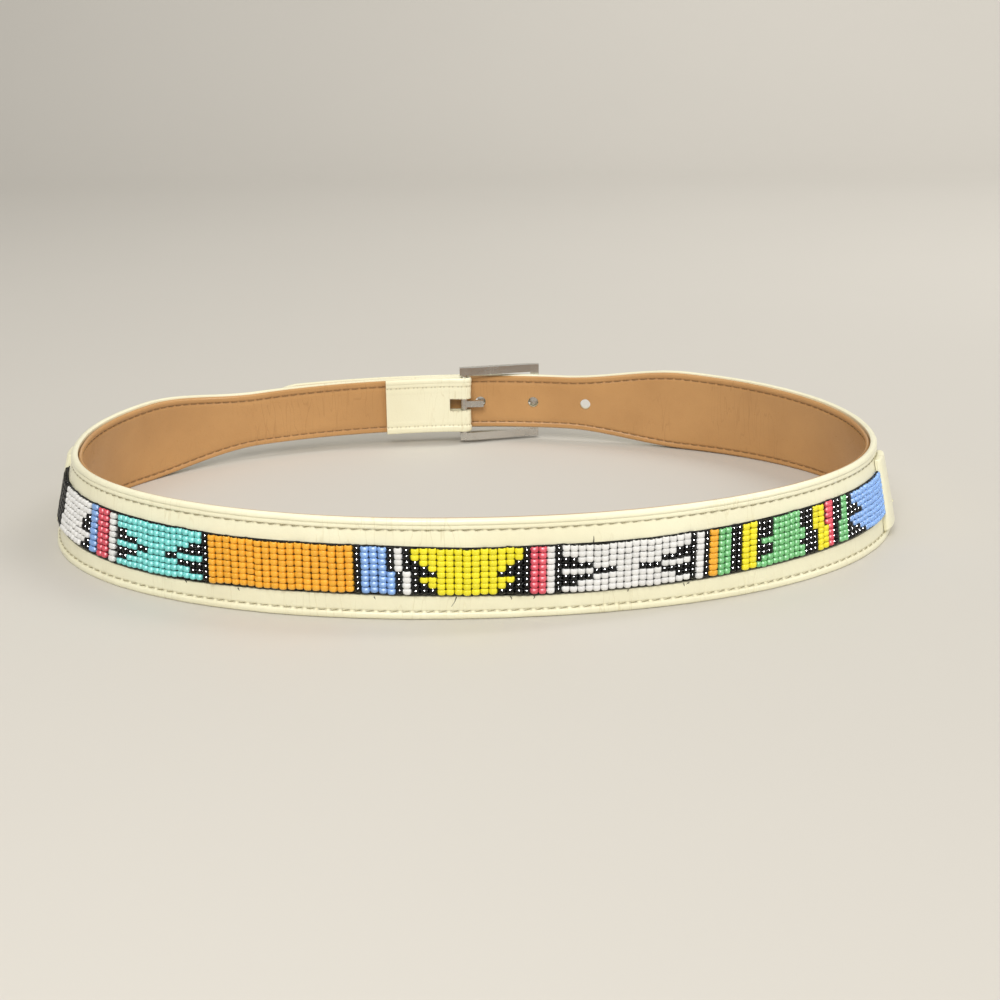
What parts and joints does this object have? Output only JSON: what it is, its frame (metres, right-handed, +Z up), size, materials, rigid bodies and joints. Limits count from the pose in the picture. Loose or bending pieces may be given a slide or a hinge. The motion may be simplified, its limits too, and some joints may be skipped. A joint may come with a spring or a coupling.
{
  "type": "beaded belt",
  "caption": "Cream leather belt fastened as a waist-size loop, with rolled stitched rims, a tan lining, a woven band of coloured seed beads round the back, end tabs and a plain buckle.",
  "frame": {"origin": "the middle of the fastened loop's own box, on the surface its lower edge stands on", "axes": "+Z up the width of the strap, +X across the loop's longer side, -Y towards the middle of the worn back, +Y towards the buckle"},
  "size_m": [0.345, 0.2382, 0.0381],
  "materials": {
    "cream_leather": "smooth, lightly creased, soft sheen",
    "tan_leather": "smooth, matt",
    "woven_beads": "glossy opaque glass beads, mixed colours",
    "bead_black": "glossy opaque glass",
    "bead_white": "glossy opaque glass",
    "bead_turquoise": "glossy opaque glass",
    "bead_orange": "glossy opaque glass",
    "bead_blue": "glossy opaque glass",
    "bead_yellow": "glossy opaque glass",
    "bead_rose": "glossy opaque glass",
    "bead_green": "glossy opaque glass",
    "black_thread": "waxed thread",
    "khaki_thread": "waxed thread",
    "buckle_metal": "polished plain metal"
  },
  "bodies": {
    "root": {"strap": "cream_leather", "lining": "tan_leather", "bead_band": "woven_beads", "end_tab_right": "cream_leather", "end_tab_left": "cream_leather", "buckle": "buckle_metal"}
  },
  "joints": []
}
